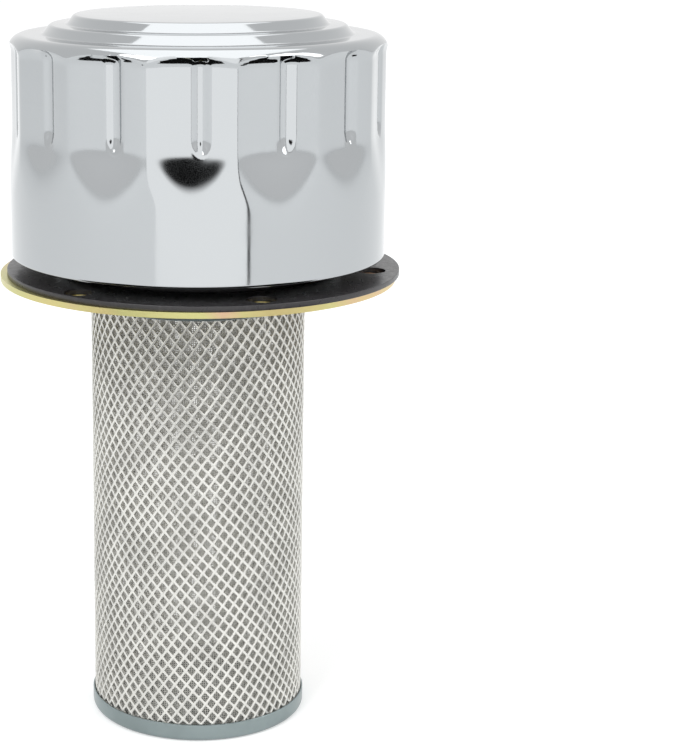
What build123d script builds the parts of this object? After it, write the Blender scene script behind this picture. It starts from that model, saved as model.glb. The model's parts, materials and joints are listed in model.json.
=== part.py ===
"""Hydraulic filler breather: a tank-top air filter cap on a flange with a filler strainer under it.

The origin is the middle of the flange's underside, where it meets the tank top, and +Z points out of
the tank. The six screw holes, the strainer and the cap all turn about the Z axis. All sizes are in mm.
"""

from build123d import *
from math import acos, cos, degrees, radians, sin, sqrt, tan
import os

os.makedirs("parts", exist_ok=True)

# Mounting flange: zinc-plated steel disc
flange_t = 1.2
screw_circle_r = 36.5
screw_rim = 5.0              # from the screw circle out to the flange's edge
screw_count = 6
screw_hole_r = 2.75
screw_phase = -10.0          # angle of the first hole from +X

# Gasket on the flange, laid a little off centre
gasket_inset = 0.3           # from the flange's edge in to the gasket's
gasket_bore_r = 29.0
gasket_t = 1.1
gasket_hole_r = 3.5
gasket_shift = 1.1           # along +X

# Cap shell: one deep-drawn sheet
cap_r = 39.0
cap_wall = 0.7
skirt_gap = 2.9              # air gap from the gasket up to the skirt
skirt_h = 45.8               # from the skirt's rim to the shoulder
shoulder_corner_r = 3.0
riser_h = 2.2                # height of each of the two steps on top
shoulder_w = 7.0             # from the wall in to the foot of the lower step
step_w = 5.0                 # from there in to the foot of the upper step
riser_run = 1.5              # how far each riser leans in
riser_corner_r = 1.0

# Finger flutes round the top of the shell
flute_count = 14
flute_phase = -92.0          # angle of the first flute's middle from +X
flute_depth = 1.6
ridge_w = 1.6                # flat land left between two flutes
flute_length = 12.6          # straight, full-depth stretch
flute_end_gap = 3.0          # from the flute's arched top up to the shoulder
flute_top_r = 5.0            # roundness of the short upper end
flute_foot_r = 14.0          # roundness of the long run-out
groove_r = 2.2               # section of the narrow groove down each flute's middle
groove_depth = 2.1           # from the wall's outside to the groove's floor
groove_h = 12.6              # between the centres of the groove's two round ends

# Inner cup, pressed into the shell and gripped by the grooves
cup_wall = 0.6
cup_grip = 0.1               # clearance to the inside of the grooves
cup_lower_r = 30.0
cup_lower_h = 20.0           # height of the narrow lower part
cup_flare_h = 5.0
cup_upper_h = 17.0           # height of the wide gripped part
cup_vent_r = 8.0             # air hole in its floor
cup_corner_r = 1.6

# Cap seal between the cup's floor and the flange
seal_r = 27.0
seal_bore_r = 23.0
seal_t = 2.0

# Air element
element_r = 27.5
element_bore_r = 14.5
element_h = 34.0
pleat_count = 40
paper_t = 0.6
element_plate_t = 0.8
element_lip = 0.6            # how far its end plates stand past the pleats
core_r = 13.6
core_wall = 0.5
core_hole_r = 2.2
core_columns = 8
core_rows = 4

# Hold-down spring over the element
spring_t = 0.5
spring_hub_r = 10.0
spring_bore_r = 6.0
spring_foot_r = 21.0
spring_foot_w = 3.0
spring_arms = 4
spring_arm_w = 6.0
spring_gap = 0.1             # play under the shell's ceiling

# Bayonet: plate riveted under the cup, and lips turned down from the flange's throat
throat_r = 17.5
notch_r = 20.6
bayonet_count = 3
notch_angle = 32.0
tab_angle = 24.0
tab_r = 20.2
tab_t = 0.9
leg_t = 1.0
leg_gap = 0.5                # from a leg out to the throat
bayonet_plate_r = 22.0
bayonet_plate_t = 1.0
lip_t = 1.0
lip_start_h = 0.9
lip_lock_h = 2.0
lip_play = 0.05              # from a locked tab up to its lip
lock_turn = 60.0             # from unlocked to locked, clockwise seen from above
ramp_angle = 26.0
stop_angle = 6.0
stop_play = 0.4              # degrees from a locked tab to its stop
rivet_r = 1.2
rivet_head_r = 1.9
rivet_head_h = 0.6
rivet_circle_r = 10.8
rivet_hole_play = 0.05

# Strainer
strainer_r = 22.9            # collar and end cap, outside
strainer_length = 95.5
collar_h = 5.0
collar_wall = 0.4
collar_lip_r = 20.9          # bore of the collar's turned-in top
collar_lip_t = 0.7
mesh_play = 0.05
mesh_t = 0.7
mesh_columns = 10
mesh_rows = 11
mesh_strand_w = 2.0
mesh_end_band = 1.2          # plain band at each end of the tube
liner_t = 0.3
liner_play = 0.05
lap_w = 6.0                  # overlap of the liner's two edges
lap_angle = 66.0             # where the lap lies, from +X
end_cap_h = 3.8
end_cap_t = 0.4
end_cap_corner_r = 1.2
seat_t = 0.2                 # depth of the collar's coined seat in the flange's underside
seat_play = 1.1

# Sizes and heights that follow
flange_r = screw_circle_r + screw_rim
gasket_r = flange_r - gasket_inset
lower_step_r = cap_r - shoulder_w
upper_step_r = lower_step_r - step_w
gasket_top = flange_t + gasket_t
skirt_z = gasket_top + skirt_gap
shoulder_z = skirt_z + skirt_h
lower_top_z = shoulder_z + riser_h
cap_top_z = lower_top_z + riser_h
cup_floor_z = flange_t + seal_t
end_cap_floor_z = -strainer_length + end_cap_t


def cap_section(inset):
    """Half section of the cap, filled to the axis, with every wall moved in by inset."""
    lean = degrees(acos(riser_h / sqrt(riser_h**2 + riser_run**2)))
    shift = inset * tan(radians(45 - lean / 2))
    with BuildSketch(Plane.XZ) as section:
        with BuildLine():
            Polyline(
                (0, skirt_z),
                (cap_r - inset, skirt_z),
                (cap_r - inset, shoulder_z - inset),
                (lower_step_r - shift, shoulder_z - inset),
                (lower_step_r - riser_run - shift, lower_top_z - inset),
                (upper_step_r - shift, lower_top_z - inset),
                (upper_step_r - riser_run - shift, cap_top_z - inset),
                (0, cap_top_z - inset),
                close=True,
            )
        make_face()
        rim_and_shoulder = section.vertices().group_by(Axis.X)[-1]
        fillet(rim_and_shoulder.sort_by(Axis.Y)[-1], shoulder_corner_r - inset)
        for step_r in (lower_step_r - shift, upper_step_r - shift):
            for edge_r in (step_r, step_r - riser_run):
                fillet([v for v in section.vertices() if abs(v.X - edge_r) < riser_corner_r / 9], riser_corner_r)
    return section.sketch


trough_r = cap_r - flute_depth
half_flute = 180 / flute_count - degrees(ridge_w / 2 / cap_r)
flute_r = (trough_r**2 + cap_r**2 - 2 * cap_r * trough_r * cos(radians(half_flute))) / (
    2 * (cap_r * cos(radians(half_flute)) - trough_r)
)
flute_axis_r = trough_r + flute_r
flute_rise = sqrt(flute_top_r**2 - (flute_top_r - flute_depth) ** 2)
flute_high_z = shoulder_z - flute_end_gap - flute_rise
flute_low_z = flute_high_z - flute_length
groove_high_z = flute_high_z
groove_low_z = groove_high_z - groove_h


def flute_cutter(growth):
    """Barrel that presses one flute, standing outside the shell on its own upright axis."""
    depth = flute_depth + growth + 0.6
    top_r = flute_top_r + growth
    foot_r = flute_foot_r + growth
    top_turn = degrees(acos(1 - depth / top_r))
    foot_turn = degrees(acos(1 - depth / foot_r))
    edge = flute_r + growth
    with BuildPart() as cutter:
        with BuildSketch(Plane.XZ):
            with BuildLine():
                wall = Line((edge, flute_low_z), (edge, flute_high_z))
                top = CenterArc((edge - top_r, flute_high_z), top_r, 0, top_turn)
                foot = CenterArc((edge - foot_r, flute_low_z), foot_r, 0, -foot_turn)
                Polyline(top @ 1, (0, (top @ 1).Y), (0, (foot @ 1).Y), foot @ 1)
            make_face()
        revolve(axis=Axis.Z)
    return cutter.part.moved(Location((flute_axis_r, 0, 0)))


def groove_cutter(growth):
    """Upright bar with ball ends that presses the groove down a flute's middle."""
    edge = groove_r + growth
    with BuildPart() as cutter:
        with BuildSketch(Plane.XZ):
            with BuildLine():
                Line((0, groove_low_z - edge), (0, groove_high_z + edge))
                CenterArc((0, groove_high_z), edge, 90, -90)
                Line((edge, groove_high_z), (edge, groove_low_z))
                CenterArc((0, groove_low_z), edge, 0, -90)
            make_face()
        revolve(axis=Axis.Z)
    return cutter.part.moved(Location((cap_r - groove_depth + groove_r, 0, 0)))


# Cap shell
with BuildPart() as cap_void:
    add(cap_section(cap_wall))
    revolve(axis=Axis.Z)
    with PolarLocations(0, flute_count, start_angle=flute_phase):
        add(flute_cutter(cap_wall), mode=Mode.SUBTRACT)
        add(groove_cutter(cap_wall), mode=Mode.SUBTRACT)

with BuildPart() as cap_shell:
    add(cap_section(0))
    revolve(axis=Axis.Z)
    with PolarLocations(0, flute_count, start_angle=flute_phase):
        add(flute_cutter(0), mode=Mode.SUBTRACT)
        add(groove_cutter(0), mode=Mode.SUBTRACT)
    add(cap_void.part, mode=Mode.SUBTRACT)
cap_shell.part.label = "cap_shell"
export_step(cap_shell.part, "parts/cap_shell.step")

# Inner cup
cup_upper_r = cap_r - groove_depth - cap_wall - cup_grip
cup_neck_z = cup_floor_z + cup_lower_h
cup_rim_z = cup_neck_z + cup_flare_h + cup_upper_h
with BuildPart() as inner_cup:
    with BuildSketch(Plane.XZ):
        with BuildLine():
            FilletPolyline(
                (cup_vent_r, cup_floor_z),
                (cup_lower_r, cup_floor_z),
                (cup_lower_r, cup_neck_z),
                (cup_upper_r, cup_neck_z + cup_flare_h),
                (cup_upper_r, cup_rim_z),
                radius=cup_corner_r,
            )
            offset(amount=cup_wall, side=Side.LEFT)
        make_face()
    revolve(axis=Axis.Z)
    with BuildSketch(Plane.XY.offset(cup_floor_z)):
        with PolarLocations(rivet_circle_r, bayonet_count, start_angle=60):
            Circle(rivet_r + rivet_hole_play)
    extrude(amount=cup_wall, mode=Mode.SUBTRACT)
inner_cup.part.label = "inner_cup"
export_step(inner_cup.part, "parts/inner_cup.step")

# Cap seal
with BuildPart() as cap_seal:
    with BuildSketch(Plane.XY.offset(flange_t)):
        Circle(seal_r)
        Circle(seal_bore_r, mode=Mode.SUBTRACT)
    extrude(amount=seal_t)
cap_seal.part.label = "cap_seal"
export_step(cap_seal.part, "parts/cap_seal.step")

# Air element: bottom ring, pleated paper, support core and top plate
element_z = cup_floor_z + cup_wall
paper_z = element_z + element_plate_t
paper_top_z = paper_z + element_h

with BuildPart() as element_bottom_ring:
    with BuildSketch(Plane.XY.offset(element_z)):
        Circle(element_r + element_lip)
        Circle(core_r - core_wall, mode=Mode.SUBTRACT)
    extrude(amount=element_plate_t)
element_bottom_ring.part.label = "element_bottom_ring"
export_step(element_bottom_ring.part, "parts/element_bottom_ring.step")

pleat_pitch = 360 / pleat_count
with BuildPart() as element_pleats:
    with BuildSketch(Plane.XY.offset(paper_z)):
        for inset, mode in ((0, Mode.ADD), (paper_t, Mode.SUBTRACT)):
            tips = []
            for pleat in range(pleat_count):
                for radius, turn in ((element_r - inset, 0), (element_bore_r + paper_t - inset, 0.5)):
                    angle = radians((pleat + turn) * pleat_pitch)
                    tips.append((radius * cos(angle), radius * sin(angle)))
            with BuildLine():
                Polyline(*tips, close=True)
            make_face(mode=mode)
    extrude(amount=element_h)
element_pleats.part.label = "element_pleats"
export_step(element_pleats.part, "parts/element_pleats.step")

with BuildPart() as element_core:
    with BuildSketch(Plane.XY.offset(paper_z)):
        Circle(core_r)
        Circle(core_r - core_wall, mode=Mode.SUBTRACT)
    extrude(amount=element_h)
    core_row_pitch = element_h / core_rows
    for row in range(core_rows):
        with Locations((0, 0, paper_z + (row + 0.5) * core_row_pitch)):
            with PolarLocations(core_r, core_columns, start_angle=row % 2 * 180 / core_columns):
                Cylinder(core_hole_r, 4 * core_wall, rotation=(0, 90, 0), mode=Mode.SUBTRACT)
element_core.part.label = "element_core"
export_step(element_core.part, "parts/element_core.step")

with BuildPart() as element_top_plate:
    with BuildSketch(Plane.XY.offset(paper_top_z)):
        Circle(element_r + element_lip)
    extrude(amount=element_plate_t)
element_top_plate.part.label = "element_top_plate"
export_step(element_top_plate.part, "parts/element_top_plate.step")

# Hold-down spring: a hub under the ceiling and a foot ring on the element, joined by leaning arms
spring_z = paper_top_z + element_plate_t
spring_top_z = cap_top_z - cap_wall - spring_gap
with BuildPart() as hold_down_spring:
    with BuildSketch(Plane.XZ):
        with BuildLine():
            Polyline(
                (spring_bore_r, spring_top_z),
                (spring_hub_r, spring_top_z),
                (spring_foot_r, spring_z + spring_t),
                (spring_foot_r + spring_foot_w, spring_z + spring_t),
                (spring_foot_r + spring_foot_w, spring_z),
                (spring_foot_r - spring_t, spring_z),
                (spring_hub_r - spring_t, spring_top_z - spring_t),
                (spring_bore_r, spring_top_z - spring_t),
                close=True,
            )
        make_face()
    revolve(axis=Axis.Z)
    with BuildSketch(Plane.XY.offset(spring_z)):
        Circle(spring_foot_r)
        Circle(spring_hub_r, mode=Mode.SUBTRACT)
        for arm in range(spring_arms):
            Rectangle(2 * spring_foot_r, spring_arm_w, rotation=arm * 360 / spring_arms,
                      align=(Align.MIN, Align.CENTER), mode=Mode.SUBTRACT)
    extrude(amount=spring_top_z - spring_z, mode=Mode.SUBTRACT)
hold_down_spring.part.label = "hold_down_spring"
export_step(hold_down_spring.part, "parts/hold_down_spring.step")

# Bayonet plate: disc under the cup, with legs down through the throat and tabs turned out under it
leg_r = throat_r - leg_gap
tab_top_z = -lip_lock_h - lip_play
plate_z = cup_floor_z - bayonet_plate_t
with BuildPart() as bayonet_plate:
    with BuildSketch(Plane.XY.offset(plate_z)):
        Circle(bayonet_plate_r)
        Circle(cup_vent_r, mode=Mode.SUBTRACT)
        with PolarLocations(rivet_circle_r, bayonet_count, start_angle=60):
            Circle(rivet_r + rivet_hole_play, mode=Mode.SUBTRACT)
    extrude(amount=bayonet_plate_t)
    for leg in range(bayonet_count):
        with BuildSketch(Plane.XZ.rotated((0, 0, leg * 360 / bayonet_count - tab_angle / 2))):
            with BuildLine():
                Polyline(
                    (leg_r - leg_t, plate_z + bayonet_plate_t / 2),
                    (leg_r, plate_z + bayonet_plate_t / 2),
                    (leg_r, tab_top_z),
                    (tab_r, tab_top_z),
                    (tab_r, tab_top_z - tab_t),
                    (leg_r - leg_t, tab_top_z - tab_t),
                    close=True,
                )
            make_face()
        revolve(axis=Axis.Z, revolution_arc=tab_angle)
bayonet_plate.part.label = "bayonet_plate"
export_step(bayonet_plate.part, "parts/bayonet_plate.step")

with BuildPart() as bayonet_rivets:
    with BuildSketch(Plane.XY.offset(plate_z)):
        with PolarLocations(rivet_circle_r, bayonet_count, start_angle=60):
            Circle(rivet_r)
    extrude(amount=bayonet_plate_t + cup_wall)
    for head_z in (plate_z - rivet_head_h, element_z):
        with BuildSketch(Plane.XY.offset(head_z)):
            with PolarLocations(rivet_circle_r, bayonet_count, start_angle=60):
                Circle(rivet_head_r)
        extrude(amount=rivet_head_h)
bayonet_rivets.part.label = "bayonet_rivets"
export_step(bayonet_rivets.part, "parts/bayonet_rivets.step")

# Mounting flange: disc with a notched throat, and a ramped lip with a stop for each tab
lip_end = -lock_turn - tab_angle / 2 - stop_play
lip_start = -notch_angle / 2
ramp_end = lip_start - ramp_angle


def lip_sector(from_angle, to_angle, height):
    """Part of a turned-down lip between two angles, hanging under the flange by height."""
    with BuildPart() as sector:
        with BuildSketch(Plane.XZ.rotated((0, 0, from_angle))):
            with Locations((throat_r, 0)):
                Rectangle(lip_t, height + flange_t / 2, align=(Align.MIN, Align.MAX))
        revolve(axis=Axis.Z, revolution_arc=to_angle - from_angle)
    return sector.part.moved(Location((0, 0, flange_t / 2)))


with BuildPart() as lip:
    add(lip_sector(ramp_end, lip_start, lip_lock_h))
    ramp_run = 2 * throat_r * sin(radians(ramp_angle / 2))
    ramp_middle = radians((lip_start + ramp_end) / 2)
    ramp_foot = (throat_r * cos(radians(ramp_end)), throat_r * sin(radians(ramp_end)), -lip_lock_h)
    ramp_slope = (lip_lock_h - lip_start_h) / ramp_run
    along = Vector(-sin(ramp_middle), cos(ramp_middle), ramp_slope)
    across = Vector(cos(ramp_middle), sin(ramp_middle), 0)
    split(bisect_by=Plane(origin=ramp_foot, x_dir=across, z_dir=across.cross(along)), keep=Keep.TOP)
    add(lip_sector(lip_end, ramp_end, lip_lock_h))
    add(lip_sector(lip_end - stop_angle, lip_end, lip_lock_h + lip_play + tab_t))

with BuildPart() as mounting_flange:
    with BuildSketch():
        Circle(flange_r)
        Circle(throat_r, mode=Mode.SUBTRACT)
        with PolarLocations(screw_circle_r, screw_count, start_angle=screw_phase):
            Circle(screw_hole_r, mode=Mode.SUBTRACT)
    extrude(amount=flange_t)
    for notch in range(bayonet_count):
        turn = notch * 360 / bayonet_count
        with BuildSketch(Plane.XZ.rotated((0, 0, turn - notch_angle / 2))):
            with Locations((throat_r / 2, flange_t / 2)):
                Rectangle(notch_r - throat_r / 2, 2 * flange_t, align=(Align.MIN, Align.CENTER))
        revolve(axis=Axis.Z, revolution_arc=notch_angle, mode=Mode.SUBTRACT)
    with BuildSketch():
        Circle(strainer_r + seat_play)
    extrude(amount=seat_t, mode=Mode.SUBTRACT)
    with PolarLocations(0, bayonet_count):
        add(lip.part)
mounting_flange.part.label = "mounting_flange"
export_step(mounting_flange.part, "parts/mounting_flange.step")

# Gasket
with BuildPart() as gasket:
    with BuildSketch(Plane.XY.offset(flange_t)):
        with Locations((gasket_shift, 0)):
            Circle(gasket_r)
            Circle(gasket_bore_r, mode=Mode.SUBTRACT)
            with PolarLocations(screw_circle_r, screw_count, start_angle=screw_phase):
                Circle(gasket_hole_r, mode=Mode.SUBTRACT)
    extrude(amount=gasket_t)
gasket.part.label = "gasket"
export_step(gasket.part, "parts/gasket.step")

# Strainer collar: short sleeve with a turned-in top, welded into the flange's seat
with BuildPart() as strainer_collar:
    with BuildSketch(Plane.XZ):
        with BuildLine():
            Polyline(
                (collar_lip_r, seat_t),
                (strainer_r, seat_t),
                (strainer_r, seat_t - collar_h),
                (strainer_r - collar_wall, seat_t - collar_h),
                (strainer_r - collar_wall, seat_t - collar_lip_t),
                (collar_lip_r, seat_t - collar_lip_t),
                close=True,
            )
        make_face()
    revolve(axis=Axis.Z)
strainer_collar.part.label = "strainer_collar"
export_step(strainer_collar.part, "parts/strainer_collar.step")

# Strainer mesh: tube of expanded metal with rows of staggered diamond openings
mesh_r = strainer_r - collar_wall - mesh_play
mesh_top_z = seat_t - collar_lip_t
mesh_foot_z = end_cap_floor_z + end_cap_corner_r - end_cap_t
mesh_length = mesh_top_z - mesh_foot_z
mesh_half_w = 180 / mesh_columns
mesh_half_h = (mesh_length - 2 * mesh_end_band) / (mesh_rows + 1)
diamond_w = 2 * mesh_r * sin(radians(mesh_half_w))
diamond_span = sqrt((diamond_w / 2) ** 2 + mesh_half_h**2)
diamond_scale = 1 - mesh_strand_w / 2 * diamond_span / (diamond_w / 2 * mesh_half_h)

with BuildPart() as diamond:
    with BuildSketch(Plane.YZ.offset(mesh_r - 3 * mesh_t)):
        with BuildLine():
            Polyline(
                (0, mesh_half_h * diamond_scale),
                (diamond_w / 2 * diamond_scale, 0),
                (0, -mesh_half_h * diamond_scale),
                (-diamond_w / 2 * diamond_scale, 0),
                close=True,
            )
        make_face()
    extrude(amount=5 * mesh_t)

with BuildPart() as strainer_mesh:
    with BuildSketch(Plane.XY.offset(mesh_foot_z)):
        Circle(mesh_r)
        Circle(mesh_r - mesh_t, mode=Mode.SUBTRACT)
    extrude(amount=mesh_length)
    for row in range(mesh_rows):
        with Locations((0, 0, mesh_foot_z + mesh_end_band + (row + 1) * mesh_half_h)):
            with PolarLocations(0, mesh_columns, start_angle=row % 2 * mesh_half_w):
                add(diamond.part, mode=Mode.SUBTRACT)
strainer_mesh.part.label = "strainer_mesh"
export_step(strainer_mesh.part, "parts/strainer_mesh.step")

# Strainer liner: wire cloth rolled inside the mesh, with its two edges lapped
liner_r = mesh_r - mesh_t - liner_play
lap_turn = degrees(lap_w / liner_r)
with BuildPart() as strainer_liner:
    with BuildSketch(Plane.XY.offset(mesh_foot_z)):
        Circle(liner_r)
        Circle(liner_r - liner_t, mode=Mode.SUBTRACT)
    extrude(amount=mesh_length)
    with BuildSketch(Plane.XZ.rotated((0, 0, lap_angle - lap_turn / 2))):
        with Locations((liner_r - liner_t, mesh_foot_z)):
            Rectangle(liner_t, mesh_length, align=(Align.MAX, Align.MIN))
    revolve(axis=Axis.Z, revolution_arc=lap_turn)
strainer_liner.part.label = "strainer_liner"
export_step(strainer_liner.part, "parts/strainer_liner.step")

# Strainer end cap: shallow cup rolled round the foot of the tube
with BuildPart() as strainer_end_cap:
    with BuildSketch(Plane.XZ):
        with BuildLine():
            FilletPolyline(
                (0, -strainer_length),
                (strainer_r, -strainer_length),
                (strainer_r, -strainer_length + end_cap_h),
                radius=end_cap_corner_r,
            )
            offset(amount=end_cap_t, side=Side.LEFT)
        make_face()
    revolve(axis=Axis.Z)
strainer_end_cap.part.label = "strainer_end_cap"
export_step(strainer_end_cap.part, "parts/strainer_end_cap.step")
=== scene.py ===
"""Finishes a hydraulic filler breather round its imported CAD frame.

Every size is in metres in the frame's own axes: +Z is up and the front is -Y. Run it as a script.
"""

import json
import math

import bpy
from bpy.props import FloatProperty, FloatVectorProperty, IntProperty, PointerProperty
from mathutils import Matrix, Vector


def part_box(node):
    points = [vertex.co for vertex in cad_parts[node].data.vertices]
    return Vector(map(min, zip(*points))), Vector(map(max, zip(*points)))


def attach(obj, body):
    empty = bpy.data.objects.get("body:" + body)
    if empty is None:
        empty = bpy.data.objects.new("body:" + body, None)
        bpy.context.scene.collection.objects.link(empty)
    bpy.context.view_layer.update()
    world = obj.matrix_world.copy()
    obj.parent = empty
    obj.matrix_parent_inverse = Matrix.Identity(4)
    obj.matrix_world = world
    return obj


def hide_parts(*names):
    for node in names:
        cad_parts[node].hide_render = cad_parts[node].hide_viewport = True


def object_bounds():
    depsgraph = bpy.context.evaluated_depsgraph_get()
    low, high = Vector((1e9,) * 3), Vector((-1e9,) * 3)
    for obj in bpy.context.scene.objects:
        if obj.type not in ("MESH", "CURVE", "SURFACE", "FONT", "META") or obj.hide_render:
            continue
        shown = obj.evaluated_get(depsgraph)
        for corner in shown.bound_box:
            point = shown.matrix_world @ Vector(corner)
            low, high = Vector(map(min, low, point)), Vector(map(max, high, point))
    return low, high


bl_info = {
    "name": "Filler breather",
    "version": (1, 0, 0),
    "blender": (4, 5, 0),
    "location": "3D View > Sidebar > Breather",
    "description": "Builds the chromed cap, flange, gasket and strainer of a tank-top filler breather",
    "category": "Object",
}

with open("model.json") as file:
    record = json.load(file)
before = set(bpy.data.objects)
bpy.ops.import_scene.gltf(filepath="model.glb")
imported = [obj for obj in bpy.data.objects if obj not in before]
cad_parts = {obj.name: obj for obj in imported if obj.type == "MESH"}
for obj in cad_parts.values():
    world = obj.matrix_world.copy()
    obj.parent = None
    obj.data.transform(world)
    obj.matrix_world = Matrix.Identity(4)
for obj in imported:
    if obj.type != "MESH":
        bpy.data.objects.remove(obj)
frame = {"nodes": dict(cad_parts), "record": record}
CAD_LOW, CAD_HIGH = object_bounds()
MM = 0.001
TAU = math.tau
WHITE = (1, 1, 1, 1)
COOL_WHITE = (0.97, 0.99, 1.0, 1)
# A Mix node's sockets when it mixes colours: the two inputs and the output.
MIX_A, MIX_B, MIX_OUT = 6, 7, 2

BODIES = {node: body for body, nodes in frame["record"]["behaviour"]["bodies"].items() for node in nodes}


def node_radius(node):
    """Largest radius of a CAD node about the Z axis."""
    low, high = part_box(node)
    return (high.y - low.y) / 2


def linear(hex_colour):
    """sRGB hex colour as linear red, green and blue."""
    channels = [int(hex_colour[i:i + 2], 16) / 255 for i in (1, 3, 5)]
    return tuple(c / 12.92 if c <= 0.04045 else ((c + 0.055) / 1.055) ** 2.4 for c in channels)


# ---------------------------------------------------------------- settings

class CapSettings(bpy.types.PropertyGroup):
    """Sizes and colour of the chromed cap shell."""

    flutes: IntProperty(name="Flutes", description="Finger flutes round the wall", default=14, min=3)
    phase: FloatProperty(name="Phase", description="Turn of the first flute from the +X axis",
                         default=math.radians(-92), unit="ROTATION")
    wall: FloatProperty(name="Sheet", description="Thickness of the drawn sheet",
                        default=0.7 * MM, unit="LENGTH")
    corner: FloatProperty(name="Shoulder radius", description="Rounding between the wall and the shoulder",
                          default=3.0 * MM, unit="LENGTH")
    riser: FloatProperty(name="Riser", description="Height of each of the two steps in the top",
                         default=2.2 * MM, unit="LENGTH")
    lower_step: FloatProperty(name="Lower step", description="Radius of the lower step's foot",
                              default=32.0 * MM, unit="LENGTH")
    upper_step: FloatProperty(name="Upper step", description="Radius of the upper step's foot",
                              default=27.0 * MM, unit="LENGTH")
    flute_top: FloatProperty(name="Flute top", description="Top of the flutes above the cap's rim",
                             default=44.4 * MM, unit="LENGTH")
    flute_foot: FloatProperty(name="Flute foot", description="Where the flutes run out, above the rim",
                              default=25.5 * MM, unit="LENGTH")
    flank_depth: FloatProperty(name="Flank depth", description="How deep the two flanks of a flute meet",
                               default=1.5 * MM, unit="LENGTH")
    groove_foot: FloatProperty(name="Groove foot", description="Foot of the grooves above the rim",
                               default=24.4 * MM, unit="LENGTH")
    groove_turn: FloatProperty(name="Groove turn", description="Turn of the groove from the flute's middle",
                               default=math.radians(2.7), unit="ROTATION")
    groove_depth: FloatProperty(name="Groove depth", description="Depth of the groove down a flute's middle",
                                default=2.1 * MM, unit="LENGTH")
    groove_radius: FloatProperty(name="Groove radius", description="Section radius of that groove",
                                 default=2.2 * MM, unit="LENGTH")
    colour: FloatVectorProperty(name="Chrome", description="Colour of the chrome plate", subtype="COLOR",
                                default=linear("#AEB1B3"), min=0, max=1)


class FlangeSettings(bpy.types.PropertyGroup):
    """Sizes and colours of the flange and the gasket on it."""

    screws: IntProperty(name="Screw holes", description="Holes round the flange", default=6, min=2)
    screw_circle: FloatProperty(name="Screw circle", description="Radius of the circle of holes",
                                default=36.5 * MM, unit="LENGTH")
    screw_phase: FloatProperty(name="Phase", description="Turn of the first hole from the +X axis",
                               default=math.radians(-10), unit="ROTATION")
    gasket_hole: FloatProperty(name="Gasket hole radius", description="Radius of a hole in the gasket",
                               default=3.0 * MM, unit="LENGTH")
    gasket_bore: FloatProperty(name="Gasket bore", description="Inner radius of the gasket",
                               default=29.0 * MM, unit="LENGTH")
    zinc: FloatVectorProperty(name="Zinc", description="Main colour of the yellow chromate", subtype="COLOR",
                              default=linear("#D2BB86"), min=0, max=1)
    rubber: FloatVectorProperty(name="Rubber", description="Colour of the gasket", subtype="COLOR",
                                default=linear("#262426"), min=0, max=1)


class StrainerSettings(bpy.types.PropertyGroup):
    """Sizes and colours of the strainer tube."""

    around: IntProperty(name="Diamonds round", description="Openings in one turn of the mesh",
                        default=57, min=8)
    skew: IntProperty(name="Skew", description="Rows that the mesh climbs in one turn", default=3)
    row_pitch: FloatProperty(name="Row pitch", description="Height of one diamond from corner to corner",
                             default=3.05 * MM, unit="LENGTH")
    strand: FloatProperty(name="Strand", description="Width of one strand", default=0.44 * MM, unit="LENGTH")
    wire_pitch: FloatProperty(name="Wire pitch", description="Spacing of the cloth's wires",
                              default=0.42 * MM, unit="LENGTH")
    lap_angle: FloatProperty(name="Lap", description="Where the cloth's edges overlap, from the +X axis",
                             default=math.radians(66), unit="ROTATION")
    lap_width: FloatProperty(name="Lap width", description="Overlap of the cloth's two edges",
                             default=6.0 * MM, unit="LENGTH")
    steel: FloatVectorProperty(name="Mesh", description="Colour of the expanded steel", subtype="COLOR",
                               default=linear("#DCDBD6"), min=0, max=1)
    cloth: FloatVectorProperty(name="Cloth", description="Colour of the wire cloth", subtype="COLOR",
                               default=linear("#ECEAE4"), min=0, max=1)
    cap_steel: FloatVectorProperty(name="End cap", description="Colour of the end cap", subtype="COLOR",
                                   default=linear("#8A9596"), min=0, max=1)


class StudioSettings(bpy.types.PropertyGroup):
    """Camera and light of the stage."""

    distance: FloatProperty(name="Distance", description="Camera to the breather's axis",
                            default=0.415, unit="LENGTH")
    height: FloatProperty(name="Height", description="Camera above the flange", default=0.0854, unit="LENGTH")
    pitch: FloatProperty(name="Pitch", description="How far the camera looks down",
                         default=math.radians(12.41), unit="ROTATION")
    lens: FloatProperty(name="Lens", description="Focal length in millimetres", default=96.9)
    shift_x: FloatProperty(name="Shift X", description="Sideways shift of the lens", default=0.19)
    shift_y: FloatProperty(name="Shift Y", description="Upward shift of the lens", default=-0.094)
    surround: FloatProperty(name="Surround", description="Strength of the studio's walls", default=0.8)


# ---------------------------------------------------------------- meshes

def line(start, end, steps):
    """Points from start towards end, without end."""
    return [tuple(a + (b - a) * i / steps for a, b in zip(start, end)) for i in range(steps)]


def arc(centre, radius, start, end, steps):
    """Points on an arc between two angles in degrees, without the last."""
    turns = [math.radians(start + (end - start) * i / steps) for i in range(steps)]
    return [(centre[0] + radius * math.cos(t), centre[1] + radius * math.sin(t)) for t in turns]


def lathe(profile, segments):
    """Points and faces of a closed profile of (radius, z) points turned about the Z axis."""
    points, faces = [], []
    for i, (radius, z) in enumerate(profile):
        j = (i + 1) % len(profile)
        for k in range(segments):
            m = (k + 1) % segments
            angle = TAU * k / segments
            points.append((radius * math.cos(angle), radius * math.sin(angle), z))
            faces.append((i * segments + k, i * segments + m, j * segments + m, j * segments + k))
    return points, faces


def piece(name, points, faces, node, material, sharp=35.0):
    """Makes a mesh object that stands for a CAD node and rides on that node's body."""
    mesh = bpy.data.meshes.new(name)
    mesh.from_pydata(points, [], faces)
    mesh.validate()
    mesh.shade_smooth()
    mesh.set_sharp_from_angle(angle=math.radians(sharp))
    mesh.materials.append(material)
    made = bpy.data.objects.new(name, mesh)
    bpy.context.scene.collection.objects.link(made)
    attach(made, BODIES[node])
    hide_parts(node)
    return made


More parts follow.
